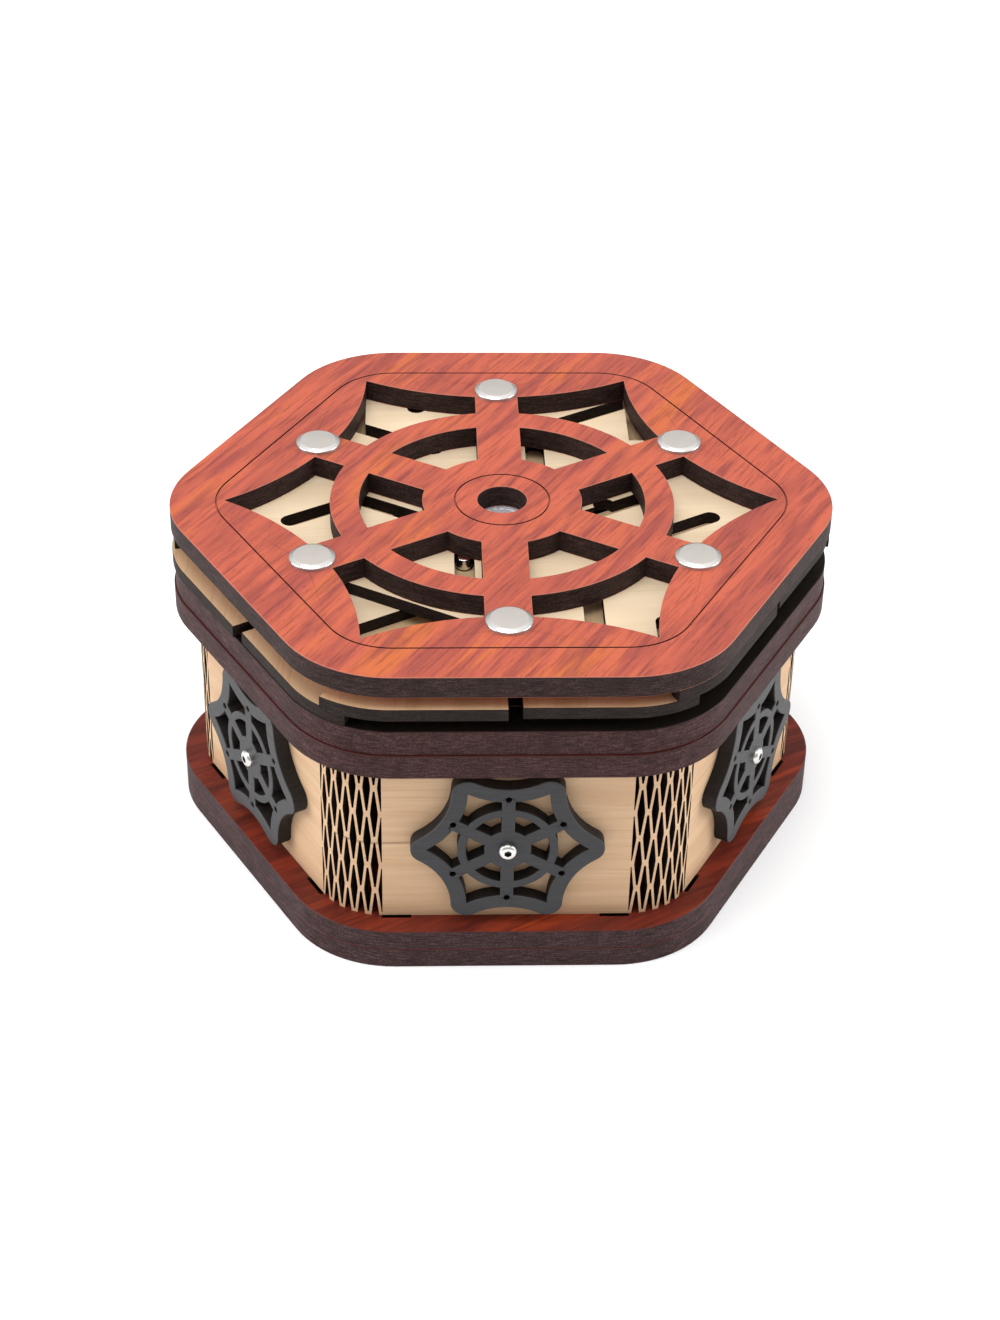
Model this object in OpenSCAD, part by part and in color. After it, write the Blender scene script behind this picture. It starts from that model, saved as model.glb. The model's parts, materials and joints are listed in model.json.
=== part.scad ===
// Six sided puzzle box in two woods, all sizes in millimetres.
// The origin is the centre of the underside, +Z is up and the front side faces -Y.
// Corners point at 0, 60, 120 degrees and on, sides face 30, 90, 150 degrees and on.

/* [Plates] */
// Centre to each flat side of the lid, the rings and the base
plate_apothem = 66.9; // [66:0.1:72]
// Radius of the plates' rounded corners
plate_corner_r = 25.2; // [24:0.2:28]
// Thickness of the pierced top plate
lid_t = 5.2; // [4:0.1:9]
// Thickness of the plate under the sliding leaves
lid_base_t = 6; // [4:0.1:9]
// How far that plate stands in from the edge of the others
lid_base_inset = 0.4; // [0:0.1:1]
// Thickness of the ring on top of the wall
rim_t = 5.8; // [4:0.1:9]
// Thickness of the floor plate that holds the wall's tabs
base_t = 5; // [4:0.1:9]
// Thickness of the plain plate under the floor plate
underplate_t = 5; // [3:0.1:8]

/* [Wall] */
// Height of the wall between the floor plate and the ring
wall_h = 42; // [42:1:60]
// Thickness of the bent wall
wall_t = 3; // [2.5:0.25:4]
// How far the wall stands in from the plates' edge
wall_inset = 5.7; // [5:0.1:6.5]
// Outer radius of the wall's bent corners
wall_corner_r = 15; // [15:0.2:17]
// Width of the tab under each side of the wall
tab_w = 41; // [30:1:44]
// Whole length of the slot that takes a tab
tab_slot_w = 53.6; // [48:0.2:54]
// How far the slot's open ends show outside the wall
slot_relief = 0.8; // [0.4:0.1:1.5]
// Slits stacked in one column of a corner's lattice
lattice_rows = 3; // [2:1:4]
// Widest part of a slit
slit_w = 1.7; // [1.4:0.05:1.75]
// Width of a slit's blunt tips
slit_tip_w = 0.4; // [0.2:0.05:0.5]
// Solid wood between two slits of one column
slit_bridge = 1.7; // [1.4:0.1:2.4]

/* [Lid pattern] */
// Radius of the hub
hub_r = 17.7; // [16:0.1:19]
// Inner radius of the wheel ring
ring_in_r = 31.7; // [29:0.1:33]
// Outer radius of the wheel ring
ring_out_r = 38.1; // [36.5:0.1:39.5]
// Width of a spoke
spoke_w = 10; // [7:0.5:11]
// Radius of the hole in the middle
centre_hole_r = 5.5; // [4:0.25:6]
// Radius of the arcs that bound the star
star_arc_r = 64; // [63:0.5:65]
// Distance from the centre to the middle of each star arc
star_arc_at = 109.3; // [108.8:0.1:110]
// Radius of the fine line round the middle hole
hub_line_r = 10.3; // [8:0.1:14]
// Distance from the lid's edge to the fine line along it
edge_line_in = 10; // [8:0.1:10.4]
// Width of the fine lines
line_w = 0.4; // [0.3:0.05:0.8]
// Depth of the fine lines
line_d = 0.4; // [0.2:0.05:0.8]

/* [Lid screws] */
// How far in from the plates' edge the lid screws stand
screw_in = 19.2; // [18.4:0.1:20.4]
// Diameter of the polished heads
screw_head_d = 10; // [8:0.5:10]
// Height of the heads
screw_head_h = 1.2; // [0.8:0.1:1.6]
// Diameter of the hollow posts
screw_post_d = 5; // [4:0.25:5]
// Diameter of the threaded shanks that close the posts from below
screw_shank_d = 3; // [2.5:0.1:3]

/* [Sliders] */
// Thickness of one level of leaves
level_t = 2.95; // [2.5:0.05:4]
// How far each slider moves out
slide_travel = 6; // [3:0.5:6]
// Play between a stack of leaves and the plate over it
slide_play = 0.05; // [0.03:0.01:0.1]
// How deep the leaves show inside the lid's edge
wing_depth = 11.8; // [10.5:0.1:12]
// Middle of a side to the leaf that lies flush with the lid
flush_gap = 0.6; // [0.5:0.1:1.5]
// Middle of a side to the leaf that lies set back
back_gap = 2.4; // [1.5:0.1:3]
// How far the second leaf of a side is set back
set_back = 0.6; // [0:0.1:1.5]
// How far each leaf reaches round the middle of a corner, in degrees
corner_wrap = 6.5; // [4:0.5:9]
// Width of the guide slots
guide_slot_w = 4.4; // [3.9:0.1:4.5]
// Diameter of the steel guide pins
guide_pin_d = 3.3; // [2.5:0.1:3.3]
// Half width of the fixed rail over the left front leaf
rail_half_w = 15.9; // [13:0.1:16]

/* [Rosettes] */
// Size of the rosette's pattern against the lid's pattern
rosette_scale = 0.281; // [0.26:0.001:0.285]
// Width of the border round the rosette's star
rosette_border = 3.4; // [2.8:0.1:3.5]
// Thickness of a rosette
rosette_t = 3.4; // [2.4:0.1:3.4]
// Diameter of the small holes in the rosette
peg_hole_d = 1.4; // [0.8:0.1:1.6]
// Diameter of the rosette screw's head
knob_head_d = 4; // [3.6:0.1:4.4]
// Height of the rosette screw's head
knob_head_h = 1.5; // [1:0.1:1.6]
// Diameter of the rosette screw's shank
knob_shank_d = 2.5; // [2:0.1:2.8]
// Running clearance on radius of the shank in the wall
knob_play = 0.08; // [0.05:0.01:0.1]

/* [Locks] */
// Width of the tab that hangs from the lid inside each side
lock_tab_w = 26; // [24:0.5:28]
// Thickness of a lock tab
lock_tab_t = 3; // [2.5:0.25:3.25]
// Gap between a lock tab and the wall
lock_tab_gap = 0.5; // [0.4:0.05:0.8]
// Radius of the round part of the keyhole
keyhole_r = 9.3; // [9:0.1:10]
// Width of the keyhole's open foot
keyhole_w = 6.2; // [5.8:0.1:6.8]
// Clearance at the ends of the lock bar
lock_bar_clear = 1.2; // [1:0.1:1.5]
// Width of a lock bar
lock_bar_w = 3.6; // [3.2:0.1:3.8]
// Wood under the round part of the keyhole
keyhole_foot = 3.2; // [2:0.2:4]

/* [Hidden] */

padauk = "#b8452f";
maple = "#e6cfa4";
dark_wood = "#33302f";
steel = "#c9cbcc";

// Facets of a round, and of the small holes in the rosettes.
round_fn = 96;
small_fn = 24;
arc_steps = 12;

// Overlap of a cutting shape, glue gap, and clearance on radius round the posts.
cut = 1;
fit = 0.02;
post_fit = 0.05;

base_top = underplate_t + base_t;
wall_top = base_top + wall_h;
rim_top = wall_top + rim_t;
lid_base_top = rim_top + lid_base_t;
lid_bottom = lid_base_top + 3 * level_t;
lid_top = lid_bottom + lid_t;
function level_z(level) = lid_base_top + (level - 1) * level_t;

// Level of each side's leaf from the right back side anticlockwise, 1 is the lowest.
side_level = [2, 1, 2, 1, 2, 3];

// Middles of the plates' and of the wall's rounded corners, as distances from the centre.
corner_at = (plate_apothem - plate_corner_r) / cos(30);
wall_apothem = plate_apothem - wall_inset;
wall_corner_at = (wall_apothem - wall_corner_r) / cos(30);

// The wall's inner face, and its middle height where the rosettes turn.
wall_inner = wall_apothem - wall_t;
wall_mid = base_top + wall_h / 2;

// Slits stand on columns round each corner, on both ends of the bend and between.
lattice_columns = 11;
column_turn = 60 / (lattice_columns - 1);
slit_pitch = wall_h / lattice_rows;
slit_flank = 0.25;

// Radius of the circle that the lid screws stand on. The places of pins, slots and cuts in the
// lid's layers are drawn for one such circle, and keep their proportion to it.
screw_at = plate_apothem - screw_in;
drawn_circle_r = 47.7;
plan = screw_at / drawn_circle_r;

// The fixed plates end just inside the part of the leaves that shows at the edge.
wing_inner = plate_apothem - wing_depth;
deck_gap = 0.6;
deck_apothem = wing_inner - deck_gap;
deck_corner_r = 6;

// A side leaf on the top level is glued to the main leaf in a lap outside the fixed plates.
lap_in = 4.5;
lap_apothem = plate_apothem - lap_in;

// Tubes round the posts hold the fixed plates apart, and the leaves pass beside them.
post_clear = 1.5;
spacer_r = screw_post_d / 2 + post_clear;
leaf_clear = 1;
leaf_gap = spacer_r + leaf_clear;
rail_side = 3;
rail_start = 27 * plan;
rail_gap = 1.5;
rail_end = deck_apothem - rail_gap;

// The window starts at this distance from the centre and keeps this gap to the spokes' middles.
window_at = 38.5 * plan;
window_gap = 4;

// The leaf under the window has an arm for its pin and is cut away beside it.
window_slider = 4;
arm_w = 12.5;
arm_reach = 42 * plan;

// Guide pins, as distance along the way each slider moves and distance beside it.
pin_along = plan * [25.8, 14.6, 28, 24.6, 14.6, 25.3];
pin_beside = plan * [-22.9, -8.5, -18.4, -23.1, -8.65, -19.7];
pin_dish_edge = 0.35;
pin_dish_r = guide_pin_d / 2 + pin_dish_edge;
pin_dish_d = 0.4;
pin_drop = 0.3;

// Guide slots, as side, distance beside the middle of that side, start and end.
// Those of the pins run on past the pins' travel, and the free ones stay empty.
slot_spare = plan * [8.8, 11.4, 22, 10.2, 11.4, 0.3];
free_slots = [
    [2, 8.75, 12, 33],
    [0, -8.45, 12, 33],
    [0, 28.8, 34, 58],
    [4, 18.4, 24, 52],
    [4, 33.3, 40.2, 58],
    [1, 18.8, 48.9, 50.5]];
guide_slots = [
    for (k = [0:5]) [k, pin_beside[k], pin_along[k], pin_along[k] + slide_travel + slot_spare[k]],
    for (slot = free_slots) [slot[0], plan * slot[1], plan * slot[2], plan * slot[3]]];

// Round eye beside one slot, and notches in the back corners of the guide plate, right and left.
slot_eye = plan * [23, -6.5];
slot_eye_r = 2.5;
back_notch_x = 30.8 * plan;
back_notch_y = plan * [34, 40];

// Disc under the hole in the middle, and the free depth over the shanks in the posts.
disc_r = 6.5;
post_spare = 6;

// Distances from the centre of what stands on and behind the wall.
rosette_out = wall_apothem + slide_play;
rosette_face = rosette_out + rosette_t;
lock_bar_out = wall_inner - slide_play;
lock_tab_out = wall_inner - lock_tab_gap;
bar_proud = 0.3;
lock_bar_in = lock_tab_out - lock_tab_t - bar_proud;
lock_tab_foot = wall_mid - keyhole_r - keyhole_foot;
tenon_w = 16;
knob_nut_t = 2.2;
knob_nut_d = 5.6;
knob_end = 0.4;
knob_start = lock_bar_in - knob_nut_t - knob_end;
peg_hole_at = screw_at * rosette_scale;

// Shape of the rosette screw's head as shares of its height and diameter.
dome_start = 0.35;
socket_floor = 0.6;
socket_share = 0.16;

function turn(k) = 60 * k + 30;
function polar(r, a) = [r * cos(a), r * sin(a)];
function arc(at, r, from, to) =
    [for (i = [0:arc_steps]) at + polar(r, from + (to - from) * i / arc_steps)];

// Rounded hexagon whose corners point at 0, 60, 120 degrees and on.
module rounded_hex(apothem, corner_r) {
    centre = (apothem - corner_r) / cos(30);
    polygon([for (k = [0:5], side = [-30, 30]) polar(centre, 60 * k) + polar(corner_r, 60 * k + side)]);
    for (k = [0:5]) translate(polar(centre, 60 * k)) circle(r = corner_r, $fn = round_fn);
}

// Plate outline drawn in from the plates' edge by the given distance.
module plate_outline(inset = 0) {
    rounded_hex(plate_apothem - inset, plate_corner_r - inset);
}

// Wall outline drawn in from the wall's outer face by the given distance.
module wall_outline(inset = 0) {
    rounded_hex(wall_apothem - inset, wall_corner_r - inset);
}

module sharp_hex(apothem) {
    circle(r = apothem / cos(30), $fn = 6);
}

module plate(z, t, inset = 0) {
    translate([0, 0, z]) linear_extrude(t) plate_outline(inset);
}

module at_side(k) {
    rotate(turn(k)) children();
}

module side_bar(half_w, start, end) {
    translate([start, -half_w]) square([end - start, 2 * half_w]);
}

// Bores for the lid screws' posts.
module post_bores(z, t) {
    for (k = [0:5]) at_side(k) translate([screw_at, 0, z - cut])
        cylinder(r = screw_post_d / 2 + post_fit, h = t + 2 * cut, $fn = round_fn);
}

module base_underplate() {
    color(padauk) plate(0, underplate_t);
}

module base_plate() {
    color(padauk) difference() {
        plate(underplate_t, base_t);
        for (k = [0:5]) at_side(k) translate([0, 0, underplate_t - cut]) linear_extrude(base_t + 2 * cut) {
            side_bar(tab_w / 2 + fit, wall_inner - fit, wall_apothem + fit);
            for (end = [-1, 1]) translate([0, end * (tab_w + tab_slot_w) / 4])
                side_bar((tab_slot_w - tab_w) / 4, wall_inner - fit, wall_apothem + slot_relief);
        }
    }
}

// One slit across the wall: a slender diamond with blunt tips and short straight flanks.
// It is cut to one half at the ends of a bend.
module slit(column) {
    half_h = (slit_pitch - slit_bridge) / 2;
    left = column == 0 ? 0 : 1;
    right = column == lattice_columns - 1 ? 0 : 1;
    tip = slit_tip_w / 2;
    rotate([90, 0, 90]) linear_extrude(wall_t + 2 * cut)
        polygon([[-tip * left, -half_h], [tip * right, -half_h],
                 [slit_w / 2 * right, -slit_flank], [slit_w / 2 * right, slit_flank],
                 [tip * right, half_h], [-tip * left, half_h],
                 [-slit_w / 2 * left, slit_flank], [-slit_w / 2 * left, -slit_flank]]);
}

module corner_lattice() {
    for (column = [0:lattice_columns - 1]) {
        low_row = column % 2 == 0 ? 0.5 : 0;
        high_row = column % 2 == 0 ? lattice_rows - 1 : lattice_rows;
        for (row = [0:high_row])
            rotate(column * column_turn - 30)
                translate([wall_corner_r - wall_t - cut, 0, base_top + (row + low_row) * slit_pitch])
                    slit(column);
    }
}

module side_wall() {
    color(maple) difference() {
        union() {
            translate([0, 0, base_top]) linear_extrude(wall_h) difference() {
                wall_outline();
                wall_outline(wall_t);
            }
            for (k = [0:5]) at_side(k) translate([0, 0, underplate_t])
                linear_extrude(base_t + cut) side_bar(tab_w / 2, wall_inner, wall_apothem);
        }
        for (k = [0:5]) {
            at_side(k) translate([wall_inner - cut, 0, wall_mid]) rotate([0, 90, 0])
                cylinder(r = knob_shank_d / 2 + knob_play, h = wall_t + 2 * cut, $fn = round_fn);
            rotate(60 * k) translate([wall_corner_at, 0, 0]) corner_lattice();
        }
    }
}

module body_rim() {
    color(padauk) translate([0, 0, wall_top]) linear_extrude(rim_t) difference() {
        plate_outline();
        wall_outline(wall_t);
    }
}

module lid_base_plate() {
    color(padauk) difference() {
        plate(rim_top, lid_base_t, lid_base_inset);
        post_bores(rim_top, lid_base_t);
        for (k = [0:5]) at_side(k) translate([0, 0, rim_top - cut]) linear_extrude(lid_base_t + 2 * cut)
            side_bar(tenon_w / 2 + fit, lock_tab_out - lock_tab_t - fit, lock_tab_out + fit);
    }
}

// Tab with a keyhole that hangs from the lid; the lock bar turns in the round part.
module lock_tab(k) {
    color(maple) at_side(k) difference() {
        union() {
            translate([0, 0, lock_tab_foot]) linear_extrude(rim_top - lock_tab_foot)
                side_bar(lock_tab_w / 2, lock_tab_out - lock_tab_t, lock_tab_out);
            translate([0, 0, rim_top - cut]) linear_extrude(lid_base_t + cut)
                side_bar(tenon_w / 2, lock_tab_out - lock_tab_t, lock_tab_out);
        }
        translate([lock_tab_out - lock_tab_t - cut, 0, wall_mid]) rotate([0, 90, 0])
            cylinder(r = keyhole_r, h = lock_tab_t + 2 * cut, $fn = round_fn);
        translate([lock_tab_out - lock_tab_t - cut, -keyhole_w / 2, lock_tab_foot - cut])
            cube([lock_tab_t + 2 * cut, keyhole_w, wall_mid - lock_tab_foot + cut]);
    }
}

// Fixed plate on level 1 that carries the two sliders whose lowest leaf lies on level 2.
module runner_plate() {
    color(maple) difference() {
        translate([0, 0, level_z(1)]) linear_extrude(level_t) difference() {
            rounded_hex(deck_apothem, deck_corner_r);
            at_side(4) translate([-plate_apothem, -2 * plate_apothem])
                square([3 * plate_apothem, 2 * plate_apothem + leaf_gap]);
            at_side(0) translate([-plate_apothem, -leaf_gap])
                square([3 * plate_apothem, 2 * plate_apothem]);
        }
        post_bores(level_z(1), level_t);
    }
}

// Fixed rail on level 2 over the leaf of the left front side.
module mid_rail() {
    color(maple) difference() {
        translate([0, 0, level_z(2) + slide_play]) linear_extrude(level_t - slide_play)
            at_side(rail_side) side_bar(rail_half_w, rail_start, rail_end);
        post_bores(level_z(2), level_t);
    }
}

module guide_slot(k, beside, start, end) {
    at_side(k) {
        for (along = [start, end]) translate([along, beside]) circle(d = guide_slot_w, $fn = round_fn);
        translate([0, beside]) side_bar(guide_slot_w / 2, start, end);
    }
}

// Window behind the left front corner, where the leaves below show.
module corner_window() {
    intersection() {
        wedge(window_slider, window_gap, window_gap);
        rotate(60 * window_slider) side_bar(plate_apothem, window_at, 2 * plate_apothem);
    }
}

module guide_plate() {
    color(maple) difference() {
        translate([0, 0, level_z(3)]) linear_extrude(level_t) difference() {
            rounded_hex(deck_apothem, deck_corner_r);
            circle(r = disc_r + fit, $fn = round_fn);
            for (slot = guide_slots) guide_slot(slot[0], slot[1], slot[2], slot[3]);
            at_side(0) translate(slot_eye) circle(r = slot_eye_r, $fn = round_fn);
            for (side = [0, 1]) mirror([side, 0]) translate([back_notch_x, back_notch_y[side]])
                square(plate_apothem);
            corner_window();
        }
        post_bores(level_z(3), level_t);
    }
}

module centre_disc() {
    color(steel) translate([0, 0, level_z(3)]) cylinder(r = disc_r, h = level_t, $fn = round_fn);
}

// Area between two arms of the lid's star, outside the wheel ring.
module star_area(scale_by) {
    difference() {
        circle(r = plate_apothem * scale_by, $fn = round_fn);
        for (k = [0:5]) translate(polar(star_arc_at * scale_by, turn(k)))
            circle(r = star_arc_r * scale_by, $fn = 2 * round_fn);
    }
}

// All openings of the star and wheel pattern.
module pattern_openings(scale_by) {
    difference() {
        union() {
            difference() {
                star_area(scale_by);
                circle(r = ring_out_r * scale_by, $fn = round_fn);
            }
            difference() {
                circle(r = ring_in_r * scale_by, $fn = round_fn);
                circle(r = hub_r * scale_by, $fn = round_fn);
            }
        }
        for (k = [0:5]) at_side(k) side_bar(spoke_w / 2 * scale_by, 0, plate_apothem * scale_by);
    }
}

module lid_plate() {
    color(padauk) difference() {
        plate(lid_bottom, lid_t);
        translate([0, 0, lid_bottom - cut]) linear_extrude(lid_t + 2 * cut) {
            pattern_openings(1);
            circle(r = centre_hole_r, $fn = round_fn);
        }
        translate([0, 0, lid_top - line_d]) linear_extrude(line_d + cut) {
            difference() {
                circle(r = hub_line_r + line_w, $fn = round_fn);
                circle(r = hub_line_r, $fn = round_fn);
            }
            difference() {
                plate_outline(edge_line_in);
                plate_outline(edge_line_in + line_w);
            }
        }
        post_bores(lid_bottom, lid_t);
    }
}

module post_spacers() {
    color(steel) for (k = [0:5]) {
        low = k == 5 ? level_z(2) : level_z(1);
        high = k == rail_side ? level_z(2) + slide_play : level_z(3);
        at_side(k) translate([screw_at, 0, low]) difference() {
            cylinder(r = spacer_r, h = high - low, $fn = round_fn);
            translate([0, 0, -cut])
                cylinder(r = screw_post_d / 2 + post_fit, h = high - low + 2 * cut, $fn = round_fn);
        }
    }
}

module screw_disc(d, h) {
    edge = h / 3;
    rotate_extrude($fn = round_fn)
        polygon([[0, 0], [d / 2, 0], [d / 2, h - edge], [d / 2 - edge, h], [0, h]]);
}

module lid_screws() {
    color(steel) for (k = [0:5]) at_side(k) translate([screw_at, 0, 0]) difference() {
        union() {
            translate([0, 0, lid_top]) screw_disc(screw_head_d, screw_head_h);
            translate([0, 0, rim_top])
                cylinder(d = screw_post_d, h = lid_top - rim_top + cut / 2, $fn = round_fn);
        }
        translate([0, 0, rim_top - cut])
            cylinder(r = screw_shank_d / 2 + post_fit, h = lid_top - rim_top - 2 * cut, $fn = round_fn);
    }
}

module lid_screw_caps() {
    shank_h = lid_top - rim_top - post_spare;
    color(steel) for (k = [0:5]) at_side(k) translate([screw_at, 0, 0]) {
        translate([0, 0, rim_top]) mirror([0, 0, 1]) screw_disc(screw_head_d, screw_head_h);
        translate([0, 0, rim_top - cut / 2]) cylinder(d = screw_shank_d, h = shank_h, $fn = round_fn);
    }
}

// Wedge between the spokes on both sides of a corner, with a gap to the middle of each.
module wedge(k, own_gap, other_gap) {
    tip = [own_gap + other_gap, (other_gap - own_gap) / sqrt(3)];
    reach = 3 * plate_apothem;
    rotate(60 * k) polygon([tip, tip + polar(reach, -30), tip + polar(reach, 30)]);
}

// Part of a leaf that shows at the lid's edge, on its own side or on the other side of the corner.
module wing(k, own) {
    inset = own ? 0 : set_back;
    intersection() {
        difference() {
            plate_outline(inset);
            sharp_hex(wing_inner);
        }
        wedge(k, own ? flush_gap : 0, own ? 0 : back_gap);
        rotate(60 * k) translate([corner_at, 0]) mirror([0, own ? 0 : 1]) rotate(-corner_wrap)
            translate([-plate_apothem, 0]) square([2 * plate_apothem, 2 * plate_apothem]);
    }
}

function beside_gap(side, level) =
    level == 2 && (side + 6) % 6 == rail_side ? rail_half_w + post_clear : leaf_gap;

// Hidden part of a leaf, which slides between the posts.
module leaf_body(k, level) {
    own_gap = beside_gap(k, level);
    other_gap = beside_gap(k - 1, level);
    top_leaf = max(side_level[k], side_level[(k + 5) % 6]) == 3;
    intersection() {
        sharp_hex(top_leaf ? lap_apothem : wing_inner + fit);
        if (k == window_slider && level == 2) intersection() {
            at_side(k) translate([0, -plate_apothem - own_gap]) square(plate_apothem);
            union() {
                at_side(k) side_bar(arm_w, pin_along[k] - guide_pin_d, arm_reach + cut);
                intersection() {
                    wedge(k, 0, other_gap);
                    at_side(k) side_bar(plate_apothem, arm_reach, plate_apothem);
                }
            }
        } else {
            wedge(k, own_gap, other_gap);
        }
    }
}

module leaf_shape(k, level) {
    if (level < 3) leaf_body(k, level);
    if (side_level[k] == level) wing(k, true);
    if (side_level[(k + 5) % 6] == level) wing(k, false);
}

function leaf_low(level, stack_low) =
    level_z(level) + (level == stack_low ? slide_play : 0) - (level == 3 ? slide_play : 0);
function leaf_high(level) = level_z(level + 1) - (level > 1 ? slide_play : 0);

module leaf(k, level) {
    stack_low = min(side_level[k], side_level[(k + 5) % 6]);
    low = leaf_low(level, stack_low);
    translate([0, 0, low]) linear_extrude(leaf_high(level) - low) leaf_shape(k, level);
}

module main_leaf(k) {
    color(maple) difference() {
        leaf(k, 2);
        at_side(k) translate([pin_along[k], pin_beside[k], level_z(2) - cut]) {
            cylinder(r = guide_pin_d / 2 + fit, h = level_t + 2 * cut, $fn = round_fn);
            translate([0, 0, level_t + cut - pin_dish_d])
                cylinder(r = pin_dish_r, h = pin_dish_d + cut, $fn = round_fn);
        }
    }
}

module side_leaf(k) {
    color(maple) leaf(k, side_level[k] == 2 ? side_level[(k + 5) % 6] : side_level[k]);
}

module guide_pin(k) {
    low = level_z(2) + slide_play;
    color(steel) at_side(k) translate([pin_along[k], pin_beside[k], low])
        cylinder(d = guide_pin_d, h = lid_bottom - pin_drop - low, $fn = round_fn);
}

// Outline of a rosette: the star widened by its border, with round tips.
module rosette_outline() {
    valley_at = star_arc_at * rosette_scale;
    valley_r = star_arc_r * rosette_scale - rosette_border;
    reach = star_arc_at * cos(30) - sqrt(pow(star_arc_r, 2) - pow(star_arc_at / 2, 2));
    tip_at = reach * rosette_scale;
    lean = atan2(valley_at / 2, valley_at * cos(30) - tip_at);
    valley_half = 30 - lean;
    polygon([for (k = [0:5]) each concat(
        arc(polar(tip_at, 60 * k), rosette_border, 60 * k - lean, 60 * k + lean),
        arc(polar(valley_at, turn(k)), valley_r, turn(k) + 180 - valley_half, turn(k) + 180 + valley_half))]);
}

// Places a shape drawn in the rosette's plane on the wall of side k, facing out.
module on_wall(k, out) {
    at_side(k) translate([out, 0, wall_mid]) rotate([90, 0, 90]) children();
}

module rosette(k) {
    color(dark_wood) on_wall(k, rosette_out) difference() {
        linear_extrude(rosette_t) difference() {
            rosette_outline();
            pattern_openings(rosette_scale);
            for (spoke = [0:5]) translate(polar(peg_hole_at, turn(spoke)))
                circle(d = peg_hole_d, $fn = small_fn);
        }
        translate([0, 0, -cut]) cylinder(r = knob_shank_d / 2 + fit, h = rosette_t + 2 * cut, $fn = round_fn);
    }
}

module rosette_screw(k) {
    dome = [for (a = [0:15:90])
        [knob_head_d / 2 * cos(a), knob_head_h * (dome_start + (1 - dome_start) * sin(a))]];
    color(steel) {
        on_wall(k, knob_start)
            cylinder(d = knob_shank_d, h = rosette_face + cut / 2 - knob_start, $fn = round_fn);
        on_wall(k, rosette_face) difference() {
            rotate_extrude($fn = round_fn) polygon(concat([[0, 0], [knob_head_d / 2, 0]], dome));
            translate([0, 0, knob_head_h * socket_floor])
                cylinder(r = knob_head_d * socket_share, h = knob_head_h, $fn = 6);
        }
        on_wall(k, lock_bar_in - knob_nut_t) difference() {
            cylinder(d = knob_nut_d, h = knob_nut_t, $fn = 6);
            translate([0, 0, -cut])
                cylinder(r = knob_shank_d / 2 + fit, h = knob_nut_t + 2 * cut, $fn = round_fn);
        }
    }
}

// Bar that turns in the keyhole; it stands upright when the box is unlocked.
module lock_bar(k) {
    color(steel) on_wall(k, lock_bar_in) difference() {
        linear_extrude(lock_bar_out - lock_bar_in) intersection() {
            circle(r = keyhole_r - lock_bar_clear, $fn = round_fn);
            translate([-lock_bar_w / 2, -keyhole_r]) square([lock_bar_w, 2 * keyhole_r]);
        }
        translate([0, 0, -cut])
            cylinder(r = knob_shank_d / 2 + fit, h = lock_bar_out - lock_bar_in + 2 * cut, $fn = round_fn);
    }
}

base_underplate();
base_plate();
side_wall();
body_rim();
lid_base_plate();
runner_plate();
mid_rail();
guide_plate();
lid_plate();
post_spacers();
lid_screws();
lid_screw_caps();
centre_disc();
lock_tab(0);  // lock_tab_1
lock_tab(1);  // lock_tab_2
lock_tab(2);  // lock_tab_3
lock_tab(3);  // lock_tab_4
lock_tab(4);  // lock_tab_5
lock_tab(5);  // lock_tab_6
main_leaf(0);  // slider_1_main_leaf
side_leaf(0);  // slider_1_side_leaf
guide_pin(0);  // slider_1_pin
main_leaf(1);  // slider_2_main_leaf
side_leaf(1);  // slider_2_side_leaf
guide_pin(1);  // slider_2_pin
main_leaf(2);  // slider_3_main_leaf
side_leaf(2);  // slider_3_side_leaf
guide_pin(2);  // slider_3_pin
main_leaf(3);  // slider_4_main_leaf
side_leaf(3);  // slider_4_side_leaf
guide_pin(3);  // slider_4_pin
main_leaf(4);  // slider_5_main_leaf
side_leaf(4);  // slider_5_side_leaf
guide_pin(4);  // slider_5_pin
main_leaf(5);  // slider_6_main_leaf
side_leaf(5);  // slider_6_side_leaf
guide_pin(5);  // slider_6_pin
rosette(0);  // rosette_1
rosette_screw(0);  // rosette_1_screw
lock_bar(0);  // rosette_1_lock_bar
rosette(1);  // rosette_2
rosette_screw(1);  // rosette_2_screw
lock_bar(1);  // rosette_2_lock_bar
rosette(2);  // rosette_3
rosette_screw(2);  // rosette_3_screw
lock_bar(2);  // rosette_3_lock_bar
rosette(3);  // rosette_4
rosette_screw(3);  // rosette_4_screw
lock_bar(3);  // rosette_4_lock_bar
rosette(4);  // rosette_5
rosette_screw(4);  // rosette_5_screw
lock_bar(4);  // rosette_5_lock_bar
rosette(5);  // rosette_6
rosette_screw(5);  // rosette_6_screw
lock_bar(5);  // rosette_6_lock_bar
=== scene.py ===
# %% [markdown]
# # A six-sided puzzle box in two woods
#
# The box is cut from sheets of wood by a hot beam, so every flat face keeps its
# grain and every cut wall is burnt dark brown. The shapes come from the frame,
# which was drawn at real size. This lesson breaks their edges as sanding does,
# turns the small metal parts in detail, and gives everything its finish.

import json
import math

import bmesh
import bpy
from mathutils import Matrix, Vector


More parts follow.
